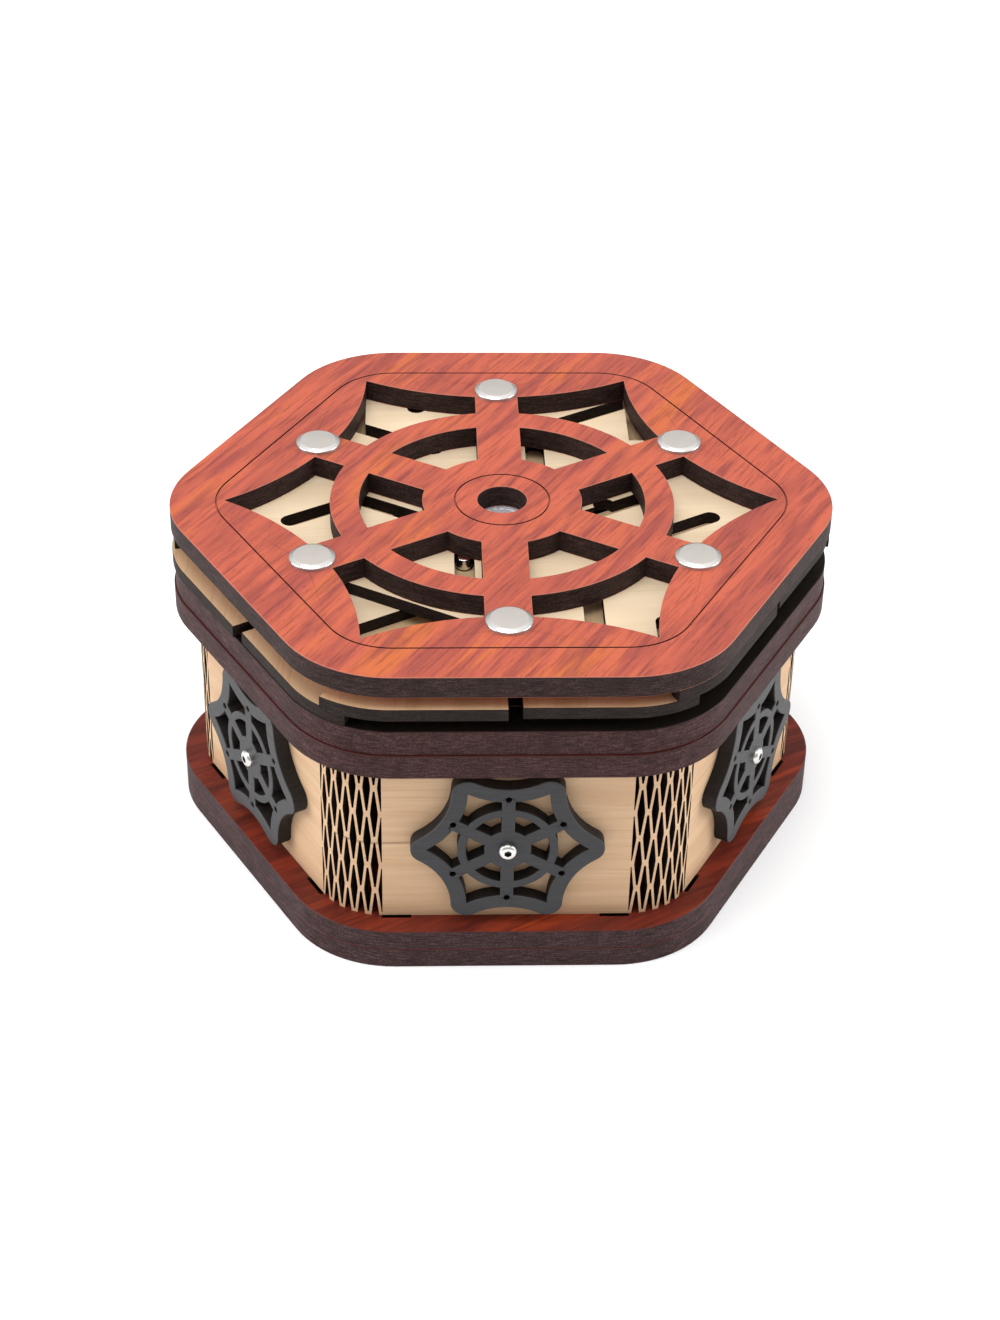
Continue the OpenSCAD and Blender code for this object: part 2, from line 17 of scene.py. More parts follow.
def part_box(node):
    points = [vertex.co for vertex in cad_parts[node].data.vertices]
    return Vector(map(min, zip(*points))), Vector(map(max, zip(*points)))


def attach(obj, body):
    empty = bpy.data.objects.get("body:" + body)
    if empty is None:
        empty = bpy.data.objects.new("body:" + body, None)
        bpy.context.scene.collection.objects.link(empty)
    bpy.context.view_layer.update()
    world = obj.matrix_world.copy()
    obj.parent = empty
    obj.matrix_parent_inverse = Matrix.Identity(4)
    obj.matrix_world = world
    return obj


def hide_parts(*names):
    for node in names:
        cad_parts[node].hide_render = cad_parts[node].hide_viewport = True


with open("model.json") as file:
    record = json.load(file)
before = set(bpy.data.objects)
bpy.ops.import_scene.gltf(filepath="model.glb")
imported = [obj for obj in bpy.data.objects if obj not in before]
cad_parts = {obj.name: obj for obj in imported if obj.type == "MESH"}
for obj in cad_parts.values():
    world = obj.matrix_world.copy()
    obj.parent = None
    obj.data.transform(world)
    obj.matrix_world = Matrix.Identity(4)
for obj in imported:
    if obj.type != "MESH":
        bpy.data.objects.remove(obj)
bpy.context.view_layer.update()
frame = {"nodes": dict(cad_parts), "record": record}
MM = 0.001
IN_MM = 1 / MM
SIDES = range(1, 7)

# %% [markdown]
# ## The camera
#
# The photograph looks down on the box from a little left of its front. A camera
# is a point, a direction and a lens. Here the point is found by walking back from
# a target on the lid, and the small roll is the tilt of a hand-held camera.

# %% Place the camera
TARGET = Vector((-2.33, -60.98, 77.85)) * MM
AZIMUTH, ELEVATION, ROLL = (math.radians(a) for a in (-2.44, 35.683, 1.196))
DISTANCE = 518.7 * MM
LENS = 70.01
NEAREST, FARTHEST = 0.01, 20

back = Vector((
    math.sin(AZIMUTH) * math.cos(ELEVATION),
    -math.cos(AZIMUTH) * math.cos(ELEVATION),
    math.sin(ELEVATION),
))
right = Vector((0, 0, 1)).cross(back).normalized()
up = back.cross(right)
rolled_right = right * math.cos(ROLL) + up * math.sin(ROLL)
rolled_up = up * math.cos(ROLL) - right * math.sin(ROLL)

camera_data = bpy.data.cameras.new("camera")
camera_data.lens = LENS
camera_data.clip_start, camera_data.clip_end = NEAREST, FARTHEST
camera = bpy.data.objects.new("camera", camera_data)
bpy.context.scene.collection.objects.link(camera)
turned = Matrix((rolled_right, rolled_up, back)).transposed().to_4x4()
camera.matrix_world = Matrix.Translation(TARGET + back * DISTANCE) @ turned
bpy.context.scene.camera = camera
print("camera at", [round(v / MM, 1) for v in camera.location])

# %% [markdown]
# ## The studio
#
# Product photographs of this kind are taken on a white sweep under large soft
# lamps. One lamp or a plain white world would light the walls as much as the lid,
# so here the world is bright overhead and dim at the horizon, most of all behind
# the camera. Wide lamps left and right give the side walls their cool sheen.

# %% Floor
FLOOR_SIZE, FLOOR_WHITE, FLOOR_GLOW = 30, 0.97, 0.08
bpy.ops.object.select_all(action="DESELECT")
bpy.ops.mesh.primitive_plane_add(size=FLOOR_SIZE, location=(0, 0, 0))
floor = bpy.context.object
floor.name = "floor"
floor_look = bpy.data.materials.new("white_sweep")
floor_look.use_nodes = True
floor_shader = floor_look.node_tree.nodes["Principled BSDF"]
floor_shader.inputs["Base Color"].default_value = (FLOOR_WHITE, FLOOR_WHITE, FLOOR_WHITE, 1)
floor_shader.inputs["Emission Color"].default_value = (1, 1, 1, 1)
floor_shader.inputs["Emission Strength"].default_value = FLOOR_GLOW
floor_shader.inputs["Roughness"].default_value = 0.9
floor_shader.inputs["Specular IOR Level"].default_value = 0.1
floor.data.materials.append(floor_look)
print("floor:", FLOOR_SIZE, "m wide")

# %% World, brighter overhead than at the horizon
HORIZON, OVERHEAD, SIDEWAYS = 0.2, 0.95, 0.16
world = bpy.data.worlds.new("studio")
bpy.context.scene.world = world
world.use_nodes = True
sky_tree = world.node_tree
sky = sky_tree.nodes["Background"]
sky.inputs["Color"].default_value = (1, 1, 1, 1)
direction = sky_tree.nodes.new("ShaderNodeTexCoord")
parts = sky_tree.nodes.new("ShaderNodeSeparateXYZ")
sky_tree.links.new(direction.outputs["Generated"], parts.inputs[0])
rise = sky_tree.nodes.new("ShaderNodeMapRange")
rise.inputs["To Min"].default_value = HORIZON
rise.inputs["To Max"].default_value = OVERHEAD
sky_tree.links.new(parts.outputs["Z"], rise.inputs["Value"])
across = sky_tree.nodes.new("ShaderNodeMath")
across.operation = "ABSOLUTE"
sky_tree.links.new(parts.outputs["X"], across.inputs[0])
glow = sky_tree.nodes.new("ShaderNodeMath")
glow.operation = "MULTIPLY_ADD"
glow.inputs[1].default_value = SIDEWAYS
sky_tree.links.new(across.outputs[0], glow.inputs[0])
sky_tree.links.new(rise.outputs["Result"], glow.inputs[2])
sky_tree.links.new(glow.outputs[0], sky.inputs["Strength"])
print("world from", HORIZON, "to", OVERHEAD)


# %% Lamps
AIM = Vector((0, 0, 0.05))


def soft_lamp(name, place, size, power):
    """A square area lamp at a place in metres, turned to the box."""
    data = bpy.data.lights.new(name, "AREA")
    data.shape = "SQUARE"
    data.size = size
    data.energy = power
    lamp = bpy.data.objects.new(name, data)
    bpy.context.scene.collection.objects.link(lamp)
    lamp.location = place
    lamp.rotation_euler = (AIM - Vector(place)).to_track_quat("-Z", "Y").to_euler()
    return lamp


soft_lamp("top_lamp", (-0.2, -0.25, 1.3), size=0.9, power=7.5)
soft_lamp("left_lamp", (-1.2, -0.1, 0.5), size=0.8, power=9)
soft_lamp("right_lamp", (1.2, 0.0, 0.5), size=0.8, power=9)
bpy.context.scene.view_settings.view_transform = "Standard"

# %% [markdown]
# ## Helpers for node trees
#
# A material is a graph of nodes. Small helpers keep the graphs short to read: one
# adds a node with its settings, others make a group with named sockets and use it.


# %% Helpers that add nodes
def add(tree, kind, settings=None, **inputs):
    """Adds a node. A value given as a socket is linked, any other is set."""
    node = tree.nodes.new("ShaderNode" + kind)
    for name, value in (settings or {}).items():
        setattr(node, name, value)
    for name, value in inputs.items():
        key = int(name[1:]) if name[0] == "_" else name.replace("_", " ")
        if isinstance(value, bpy.types.NodeSocket):
            tree.links.new(value, node.inputs[key])
        else:
            node.inputs[key].default_value = value
    return node


def math_of(tree, operation, first, second=0.0, third=0.0):
    """The result of a Math node on one to three values or sockets."""
    return add(tree, "Math", {"operation": operation}, _0=first, _1=second, _2=third).outputs[0]


def spread(tree, value, low, high, to_low=0.0, to_high=1.0):
    """Maps the range from low to high smoothly onto another range."""
    node = add(tree, "MapRange", {"interpolation_type": "SMOOTHSTEP"}, Value=value,
               From_Min=low, From_Max=high, To_Min=to_low, To_Max=to_high)
    return node.outputs["Result"]


def mix_colour(tree, share, first, second):
    """Mixes two colours, given as sockets or as red, green, blue, one."""
    return add(tree, "Mix", {"data_type": "RGBA"}, _0=share, _6=first, _7=second).outputs[2]


def mix_value(tree, share, first, second):
    """Mixes two values, given as sockets or numbers."""
    return add(tree, "Mix", {"data_type": "FLOAT"}, _0=share, _2=first, _3=second).outputs[0]


# %% Helpers that make and use groups and materials
def new_group(name, inputs, outputs):
    """An empty shader node group with float, colour and vector sockets."""
    group = bpy.data.node_groups.new(name, "ShaderNodeTree")
    for label, kind, value in inputs:
        made = group.interface.new_socket(label, in_out="INPUT", socket_type="NodeSocket" + kind)
        if value is not None:
            made.default_value = value
    for label, kind in outputs:
        group.interface.new_socket(label, in_out="OUTPUT", socket_type="NodeSocket" + kind)
    source = group.nodes.new("NodeGroupInput")
    target = group.nodes.new("NodeGroupOutput")
    return group, source, target


def use(tree, group, **inputs):
    """Places a node group in a material and sets its inputs."""
    node = tree.nodes.new("ShaderNodeGroup")
    node.node_tree = group
    for name, value in inputs.items():
        key = name.replace("_", " ")
        if isinstance(value, bpy.types.NodeSocket):
            tree.links.new(value, node.inputs[key])
        else:
            node.inputs[key].default_value = value
    return node


def new_material(name, metallic=0.0, specular=0.5):
    """A material with its tree, its shader, its coordinates and these in millimetres."""
    material = bpy.data.materials.new(name)
    material.use_nodes = True
    tree = material.node_tree
    shader = tree.nodes["Principled BSDF"]
    shader.inputs["Metallic"].default_value = metallic
    shader.inputs["Specular IOR Level"].default_value = specular
    where = tree.nodes.new("ShaderNodeTexCoord")
    millimetres = add(tree, "Mapping", Vector=where.outputs["Object"], Scale=(IN_MM, IN_MM, IN_MM)).outputs[0]
    return material, tree, shader, where, millimetres


def shade(tree, shader, colour, roughness, relief, strength=0.3, depth=0.06):
    """Links a colour, a roughness and a relief in millimetres to the shader."""
    tree.links.new(colour, shader.inputs["Base Color"])
    tree.links.new(roughness, shader.inputs["Roughness"])
    bump = add(tree, "Bump", Strength=strength, Distance=depth * MM, Height=relief)
    tree.links.new(bump.outputs["Normal"], shader.inputs["Normal"])


print("helpers ready")

# %% [markdown]
# ## Grain
#
# Wood shows three things at once: broad patches of colour, long streaks where the
# growth rings are cut, and short dark pores. All three are noise that is stretched
# along the grain, so one group makes them and every wood uses it with its own
# sizes. The group takes millimetres, with the grain running along X.

# %% Node group for grain
grain, source, target = new_group("Grain", [
    ("Place", "Vector", None), ("Patch Width", "Float", 9.0), ("Patch Length", "Float", 60.0),
    ("Streak Width", "Float", 0.9), ("Streak Length", "Float", 14.0),
    ("Pore Width", "Float", 0.25), ("Pore Length", "Float", 3.0), ("Pore Share", "Float", 0.4),
], [
    ("Patches", "Float"), ("Bands", "Float"), ("Streaks", "Float"), ("Pores", "Float"), ("Height", "Float"),
])
BAND_LONGER, BAND_WIDER = 2.6, 4.0
PORE_EDGE = 0.12


def stretched_noise(tree, place, length, width, detail, wander=0.0):
    """Noise whose blotches are as long and as wide as given, in millimetres."""
    along = math_of(tree, "DIVIDE", 1.0, length)
    across = math_of(tree, "DIVIDE", 1.0, width)
    scale = add(tree, "CombineXYZ", X=along, Y=across, Z=across).outputs[0]
    scaled = add(tree, "VectorMath", {"operation": "MULTIPLY"}, _0=place, _1=scale).outputs[0]
    noise = add(tree, "TexNoise", Vector=scaled, Scale=1.0, Detail=detail, Roughness=0.55,
                Distortion=wander)
    return noise.outputs["Fac"]


given = source.outputs
place = given["Place"]
patches = stretched_noise(grain, place, given["Patch Length"], given["Patch Width"], 2.0, 0.2)
band_length = math_of(grain, "MULTIPLY", given["Streak Length"], BAND_LONGER)
band_width = math_of(grain, "MULTIPLY", given["Streak Width"], BAND_WIDER)
bands = stretched_noise(grain, place, band_length, band_width, 3.0, 0.3)
streaks = stretched_noise(grain, place, given["Streak Length"], given["Streak Width"], 3.0, 0.2)
pore_noise = stretched_noise(grain, place, given["Pore Length"], given["Pore Width"], 2.0)
pore_start = math_of(grain, "SUBTRACT", 1.0, given["Pore Share"])
pores = spread(grain, pore_noise, pore_start, math_of(grain, "ADD", pore_start, PORE_EDGE))
height = math_of(grain, "SUBTRACT", math_of(grain, "MULTIPLY", streaks, 0.4), pores)
grain_results = {"Patches": patches, "Bands": bands, "Streaks": streaks, "Pores": pores, "Height": height}
for label, value in grain_results.items():
    grain.links.new(value, target.inputs[label])
print("grain group:", len(grain.nodes), "nodes")

# %% [markdown]
# ## Faces, cut walls and rims
#
# The beam burns every wall that it cuts, and leaves the sheet's two faces clean. A
# face of a level sheet looks up or down, and a face of an upright sheet looks away
# from the middle of the box. So the group compares the surface's own normal with
# one of these two directions. It puts out 1 on a cut wall and 0 on a face, and a
# second mask for the narrow sanded rim between them, which slopes by half.

# %% Node group that finds cut walls and rims
cut_walls, source, target = new_group("Cut Walls", [
    ("Normal", "Vector", None), ("Place", "Vector", None), ("Upright Sheet", "Float", 0.0),
], [("Cut", "Float"), ("Rim", "Float")])
given = source.outputs
LEVEL, UP = (1.0, 1.0, 0.0), (0.0, 0.0, 1.0)
outward = add(cut_walls, "VectorMath", {"operation": "MULTIPLY"}, _0=given["Place"], _1=LEVEL).outputs[0]
outward = add(cut_walls, "VectorMath", {"operation": "NORMALIZE"}, _0=outward).outputs[0]
facing = add(cut_walls, "Mix", {"data_type": "VECTOR"}, _0=given["Upright Sheet"], _4=UP, _5=outward)
facing = facing.outputs[1]
along = add(cut_walls, "VectorMath", {"operation": "DOT_PRODUCT"}, _0=given["Normal"], _1=facing)
slope = math_of(cut_walls, "ABSOLUTE", along.outputs["Value"])
cut = spread(cut_walls, slope, 0.62, 0.70, 1.0, 0.0)
steep_enough = spread(cut_walls, slope, 0.5, 0.62)
level_enough = spread(cut_walls, slope, 0.8, 0.92, 1.0, 0.0)
rim = math_of(cut_walls, "MULTIPLY", steep_enough, level_enough)
cut_walls.links.new(cut, target.inputs["Cut"])
cut_walls.links.new(rim, target.inputs["Rim"])
print("cut group:", len(cut_walls.nodes), "nodes")

# %% [markdown]
# ## Char
#
# A cut wall is not one flat brown. The fibres that the beam crossed show as fine
# level lines, soot lies in soft patches, and the colour turns to purple-grey where
# ash dusts it. The group mixes these from noise that is stretched sideways.

# %% Node group for charred wood
char, source, target = new_group("Char", [
    ("Place", "Vector", None),
    ("Soot", "Color", (0.02, 0.012, 0.01, 1)), ("Ash", "Color", (0.07, 0.045, 0.045, 1)),
], [("Color", "Color"), ("Height", "Float")])
FIBRES_PER_MM = (0.3, 0.3, 3.6)
CLOUDS_PER_MM, SPECKS_PER_MM = 0.12, 1.9
given = source.outputs
place = given["Place"]
lines = add(char, "VectorMath", {"operation": "MULTIPLY"}, _0=place, _1=FIBRES_PER_MM).outputs[0]
fibres = add(char, "TexNoise", Vector=lines, Scale=1.0, Detail=4.0, Roughness=0.65).outputs["Fac"]
clouds = add(char, "TexNoise", Vector=place, Scale=CLOUDS_PER_MM, Detail=3.0, Roughness=0.6).outputs["Fac"]
specks = add(char, "TexNoise", Vector=place, Scale=SPECKS_PER_MM, Detail=2.0, Roughness=0.7).outputs["Fac"]
dusted = spread(char, clouds, 0.25, 0.7, 0.5, 1.0)
ash = math_of(char, "MULTIPLY", spread(char, fibres, 0.3, 0.75), dusted)
ash = math_of(char, "MULTIPLY", ash, spread(char, specks, 0.32, 0.66, 0.45, 1.6))
height = math_of(char, "ADD", fibres, math_of(char, "MULTIPLY", specks, 0.5))
char.links.new(mix_colour(char, ash, given["Soot"], given["Ash"]), target.inputs["Color"])
char.links.new(height, target.inputs["Height"])
print("char group:", len(char.nodes), "nodes")

# %% [markdown]
# ## The red wood
#
# The plates are a red tropical wood: salmon to orange, crossed by mauve-brown
# streaks from a hair to four millimetres wide, with fine dark pores. On the lid its
# grain runs about 58 degrees from the front edge. The lower plates are darker, so
# the colours and the turn are arguments of one function. The specular level is low,
# because oiled wood without varnish is nearly matte, and a thin coat on the faces
# alone gives their soft sheen.


# %% Red wood for level plates
BROAD_PER_MM = 0.022
GAP_SHADE_BLACK = (0.004, 0.003, 0.003, 1)


def turned_millimetres(tree, where, turn):
    """Object coordinates in millimetres, with X turned to run along the grain."""
    return add(tree, "Mapping", {"vector_type": "TEXTURE"}, Vector=where.outputs["Object"],
               Rotation=(0, 0, math.radians(turn)), Scale=(MM, MM, MM)).outputs[0]


def red_wood(name, light, orange, middle, dark, rim, turn, soot, ash, shade_painted_top=False):
    """Oiled red wood with its grain turned from the X axis, burnt on its cut walls."""
    material, tree, shader, where, millimetres = new_material(name, specular=0.12)
    wood = use(tree, grain, Place=turned_millimetres(tree, where, turn), Patch_Width=8.0, Patch_Length=55.0,
               Streak_Width=0.75, Streak_Length=11.0, Pore_Width=0.22, Pore_Length=2.8, Pore_Share=0.39)
    patches, bands, streaks = (wood.outputs[label] for label in ("Patches", "Bands", "Streaks"))
    broad = add(tree, "TexNoise", Vector=millimetres, Scale=BROAD_PER_MM, Detail=1.0).outputs["Fac"]
    warm = math_of(tree, "MULTIPLY", spread(tree, patches, 0.45, 0.68), spread(tree, broad, 0.38, 0.6))
    colour = mix_colour(tree, warm, light, orange)
    colour = mix_colour(tree, spread(tree, patches, 0.32, 0.52, 0.5, 0.0), colour, middle)
    colour = mix_colour(tree, spread(tree, bands, 0.42, 0.68, 0.0, 0.8), colour, middle)
    colour = mix_colour(tree, spread(tree, streaks, 0.47, 0.75, 0.0, 0.5), colour, dark)
    colour = mix_colour(tree, spread(tree, streaks, 0.26, 0.42, 0.25, 0.0), colour, orange)
    pore = math_of(tree, "MULTIPLY", wood.outputs["Pores"], 0.5)
    colour = mix_colour(tree, pore, colour, tuple(c * 0.5 for c in dark[:3]) + (1,))
    # Painted shade: faces that look up turn nearly black, standing in for the deep dark gap under the leaves
    # where this plate shows.
    if shade_painted_top:
        looks_up = add(tree, "SeparateXYZ", _0=where.outputs["Normal"]).outputs["Z"]
        colour = mix_colour(tree, spread(tree, looks_up, 0.3, 0.6), colour, GAP_SHADE_BLACK)
    walls = use(tree, cut_walls, Normal=where.outputs["Normal"], Place=millimetres)
    burnt = use(tree, char, Place=millimetres, Soot=soot, Ash=ash)
    colour = mix_colour(tree, walls.outputs["Cut"], colour, burnt.outputs["Color"])
    # The rim colour is a painted highlight on the lid and a dark char line on the other boards.
    colour = mix_colour(tree, math_of(tree, "MULTIPLY", walls.outputs["Rim"], 0.8), colour, rim)
    rough = mix_value(tree, walls.outputs["Cut"], spread(tree, streaks, 0.3, 0.7, 0.42, 0.56), 0.6)
    relief = mix_value(tree, walls.outputs["Cut"], wood.outputs["Height"], burnt.outputs["Height"])
    shade(tree, shader, colour, rough, relief, 0.3, 0.07)
    sheen = spread(tree, walls.outputs["Cut"], 0.0, 1.0, 0.2, 0.0)
    tree.links.new(sheen, shader.inputs["Coat Weight"])
    shader.inputs["Coat Roughness"].default_value = 0.35
    return material


print("red wood ready")

# %% [markdown]
# Four boards come from this one function. A board's tones are its light, orange,
# middle and dark wood, and a burn is a pair of soot and ash. The ring and the lid's
# base plate are the lid's tones made darker by a share. The base has its own tones,
# because its orange is stronger and its grain runs another way. They are also much
# darker than the lid's, partly the base's own deeper red and partly painted shade
# for the light it loses under the ring.

# %% Four red boards
LID_TONES = (0.53, 0.114, 0.065, 1), (0.57, 0.142, 0.043, 1), (0.29, 0.060, 0.050, 1), (0.11, 0.024, 0.027, 1)
# The base tones are darker than the lid's partly as painted shade under the ring.
BASE_TONES = (0.20, 0.028, 0.013, 1), (0.40, 0.052, 0.011, 1), (0.07, 0.01, 0.008, 1), (0.02, 0.006, 0.006, 1)
DEEP_BURN = (0.014, 0.007, 0.0055, 1), (0.061, 0.035, 0.033, 1)
RED_BURN = (0.021, 0.009, 0.0075, 1), (0.094, 0.043, 0.044, 1)
GREY_BURN = (0.021, 0.010, 0.009, 1), (0.094, 0.050, 0.054, 1)
# The lid's rim colour is paler than its face: a painted highlight along its bevelled edges. The darker rims
# of the other boards are their char lines.
RIM_HIGHLIGHT, BURNT_RIM, BASE_RIM = (0.48, 0.155, 0.105, 1), (0.03, 0.009, 0.007, 1), (0.07, 0.015, 0.010, 1)
LID_TURN, BASE_TURN = 58, 30
RING_SHARE, LID_BASE_SHARE = 0.16, 0.6


def deeper(colour, share):
    """A colour made darker, and redder the darker it gets."""
    red, green, blue = (c * share for c in colour[:3])
    return (red, green * share ** 0.35, blue * share ** 0.35, 1)


ring_tones = [deeper(tone, RING_SHARE) for tone in LID_TONES]
lid_base_tones = [deeper(tone, LID_BASE_SHARE) for tone in LID_TONES]
lid_wood = red_wood("red_wood_lid", *LID_TONES, RIM_HIGHLIGHT, LID_TURN, *DEEP_BURN)
rim_wood = red_wood("red_wood_ring", *ring_tones, BURNT_RIM, LID_TURN, *RED_BURN)
# The lid's base plate has its upward faces painted nearly black, as painted shade for the gap under the
# leaves.
lid_base_wood = red_wood("red_wood_lid_base", *lid_base_tones, BURNT_RIM, LID_TURN, *RED_BURN, shade_painted_top=True)
base_wood = red_wood("red_wood_base", *BASE_TONES, BASE_RIM, BASE_TURN, *GREY_BURN)
print("red woods:", lid_wood.name, rim_wood.name, lid_base_wood.name, base_wood.name)

# %% [markdown]
# ## The pale wood
#
# The wall, the leaves and the plate under the lid are maple: nearly white, with a
# faint warm grain and short brown flecks. The wall's grain runs level all round,
# and one dark mineral streak crosses its front beside the rosette. The guide
# plate's grain runs nearly along X, and the leaves' nearly across it. Cut walls are
# burnt here too.


# %% Pale wood for upright and level sheets
WALL_STRETCH = (0.05, 0.05, 1.0)
FLECK, PALE_RIM, MINERAL = (0.33, 0.18, 0.09, 1), (0.03, 0.017, 0.012, 1), (0.20, 0.10, 0.05, 1)
PALE_BURN = {"Soot": (0.007, 0.004, 0.003, 1), "Ash": (0.034, 0.021, 0.018, 1)}
MINERAL_AT, MINERAL_SLANT = 30.5, 0.01
MINERAL_END, MINERAL_FRONT = (-22.0, -16.0), (-58.0, -57.0)


def mineral_streak(tree, millimetres):
    """A mask for the dark line at one height on the left of the wall's front."""
    parts = add(tree, "SeparateXYZ", _0=millimetres)
    level = math_of(tree, "MULTIPLY_ADD", parts.outputs["X"], MINERAL_SLANT, MINERAL_AT)
    off = math_of(tree, "ABSOLUTE", math_of(tree, "SUBTRACT", parts.outputs["Z"], level))
    line = math_of(tree, "MULTIPLY", spread(tree, off, 0.08, 0.5, 0.6, 0.0),
                   spread(tree, parts.outputs["X"], *MINERAL_END, 1.0, 0.0))
    return math_of(tree, "MULTIPLY", line, spread(tree, parts.outputs["Y"], *MINERAL_FRONT, 1.0, 0.0))


def pale_wood(name, light, dark, upright, turn=0.0, streaked=False):
    """Maple, with its grain level on upright sheets and turned from X on level ones."""
    material, tree, shader, where, millimetres = new_material(name, specular=0.15)
    if upright:
        stretch = add(tree, "VectorMath", {"operation": "MULTIPLY"}, _0=millimetres, _1=WALL_STRETCH)
        wood = use(tree, grain, Place=stretch.outputs[0], Patch_Width=3.5, Patch_Length=2.5,
                   Streak_Width=0.55, Streak_Length=1.2, Pore_Width=0.14, Pore_Length=0.12, Pore_Share=0.35)
    else:
        along_grain = turned_millimetres(tree, where, turn)
        wood = use(tree, grain, Place=along_grain, Patch_Width=6.0, Patch_Length=60.0, Streak_Width=0.7,
                   Streak_Length=26.0, Pore_Width=0.15, Pore_Length=1.6, Pore_Share=0.33)
    colour = mix_colour(tree, spread(tree, wood.outputs["Patches"], 0.3, 0.7, 0.0, 0.7), light, dark)
    colour = mix_colour(tree, spread(tree, wood.outputs["Streaks"], 0.48, 0.72, 0.0, 0.7), colour, dark)
    fleck = math_of(tree, "MULTIPLY", wood.outputs["Pores"], 0.34)
    colour = mix_colour(tree, fleck, colour, FLECK)
    if streaked:
        colour = mix_colour(tree, mineral_streak(tree, millimetres), colour, MINERAL)
    walls = use(tree, cut_walls, Normal=where.outputs["Normal"], Place=millimetres,
                Upright_Sheet=float(upright))
    burnt = use(tree, char, Place=millimetres, **PALE_BURN)
    colour = mix_colour(tree, walls.outputs["Cut"], colour, burnt.outputs["Color"])
    if not upright:
        colour = mix_colour(tree, walls.outputs["Rim"], colour, PALE_RIM)
    rough = mix_value(tree, walls.outputs["Cut"], 0.5, 0.65)
    shade(tree, shader, colour, rough, wood.outputs["Height"], 0.25, 0.04)
    return material


# The wall's tones are darker than the sheets': partly the maple's own tone, partly painted shade for the
# lesser light an upright face gets.
WALL_TONES_SHADED = (0.66, 0.45, 0.28, 1), (0.54, 0.335, 0.195, 1)
SHEET_TONES = (0.84, 0.67, 0.47, 1), (0.74, 0.56, 0.37, 1)
# The leaves' tones are darker than the sheets' as well: the maple's own tone with painted shade for the
# leaves' edges under the lid.
LEAF_TONES_SHADED = (0.66, 0.48, 0.29, 1), (0.52, 0.35, 0.19, 1)
SHEET_TURN, LEAF_TURN = 4, 86
wall_wood = pale_wood("pale_wood_wall", *WALL_TONES_SHADED, upright=True, streaked=True)
tab_wood = pale_wood("pale_wood_tabs", *WALL_TONES_SHADED, upright=True)
sheet_wood = pale_wood("pale_wood_sheets", *SHEET_TONES, upright=False, turn=SHEET_TURN)
leaf_wood = pale_wood("pale_wood_leaves", *LEAF_TONES_SHADED, upright=False, turn=LEAF_TURN)
print("pale woods:", wall_wood.name, tab_wood.name, sheet_wood.name, leaf_wood.name)

# %% [markdown]
# ## The charcoal wood of the rosettes
#
# The rosettes are stained nearly black on their faces, with the grain just felt.
# Their cut walls are browner, and their rims are rubbed a little lighter.

# %% Charcoal stain
STAIN_STRETCH = (0.2, 0.2, 1.0)
STAIN_DEEP, STAIN_PALE, RUBBED = (0.018, 0.0185, 0.021, 1), (0.030, 0.030, 0.034, 1), (0.06, 0.057, 0.058, 1)
BLACK_BURN = {"Soot": (0.003, 0.002, 0.002, 1), "Ash": (0.014, 0.009, 0.008, 1)}
charcoal, tree, shader, where, millimetres = new_material("charcoal_wood", specular=0.4)
stretch = add(tree, "VectorMath", {"operation": "MULTIPLY"}, _0=millimetres, _1=STAIN_STRETCH).outputs[0]
wood = use(tree, grain, Place=stretch, Patch_Width=3.0, Patch_Length=4.0, Streak_Width=0.5, Streak_Length=1.0,
           Pore_Width=0.2, Pore_Length=0.3, Pore_Share=0.38)
streaks = wood.outputs["Streaks"]
stain = mix_colour(tree, spread(tree, streaks, 0.35, 0.7), STAIN_DEEP, STAIN_PALE)
walls = use(tree, cut_walls, Normal=where.outputs["Normal"], Place=millimetres, Upright_Sheet=1.0)
burnt = use(tree, char, Place=millimetres, **BLACK_BURN)
colour = mix_colour(tree, walls.outputs["Cut"], stain, burnt.outputs["Color"])
colour = mix_colour(tree, math_of(tree, "MULTIPLY", walls.outputs["Rim"], 0.6), colour, RUBBED)
rough = mix_value(tree, walls.outputs["Cut"], spread(tree, streaks, 0.3, 0.7, 0.4, 0.52), 0.65)
shade(tree, shader, colour, rough, wood.outputs["Height"], 0.25, 0.04)
print("charcoal:", len(tree.nodes), "nodes")

# %% [markdown]
# ## Metal
#
# The lid screws are bright nickel plate with polished rims and satin tops. The
# rosettes' button screws are a darker plate, and their sockets get a near-black
# metal, which is painted shade for the hole. The hidden bars and tubes are dull
# steel. All have faint smudges, which are noise in the roughness. The disc under
# the middle hole is cast with a coarse grain, so its colour is mottled as well.


# %% Six metals from one function
SCRATCHES_PER_MM = 6.0


def metal(name, colour, smooth, rough, mottle=0.14, grain_size=2.0, relief=0.02):
    """Metal whose roughness and colour wander between two values."""
    material, tree, shader, where, millimetres = new_material(name, metallic=1.0)
    smudge = add(tree, "TexNoise", Vector=millimetres, Scale=1.0 / grain_size, Detail=4.0, Roughness=0.6)
    smudge = smudge.outputs["Fac"]
    scratch = add(tree, "TexNoise", Vector=millimetres, Scale=SCRATCHES_PER_MM, Detail=3.0, Roughness=0.7)
    darker = tuple(c * (1 - mottle) for c in colour[:3]) + (1,)
    tone = mix_colour(tree, spread(tree, smudge, 0.35, 0.65), colour, darker)
    rough_now = spread(tree, smudge, 0.3, 0.7, smooth, rough)
    shade(tree, shader, tone, rough_now, scratch.outputs["Fac"], 0.12, relief)
    return material


bright_metal = metal("bright_plate", (0.96, 0.93, 0.90, 1), 0.12, 0.2, 0.05)
satin_metal = metal("satin_plate", (0.93, 0.87, 0.81, 1), 0.34, 0.42, 0.04)
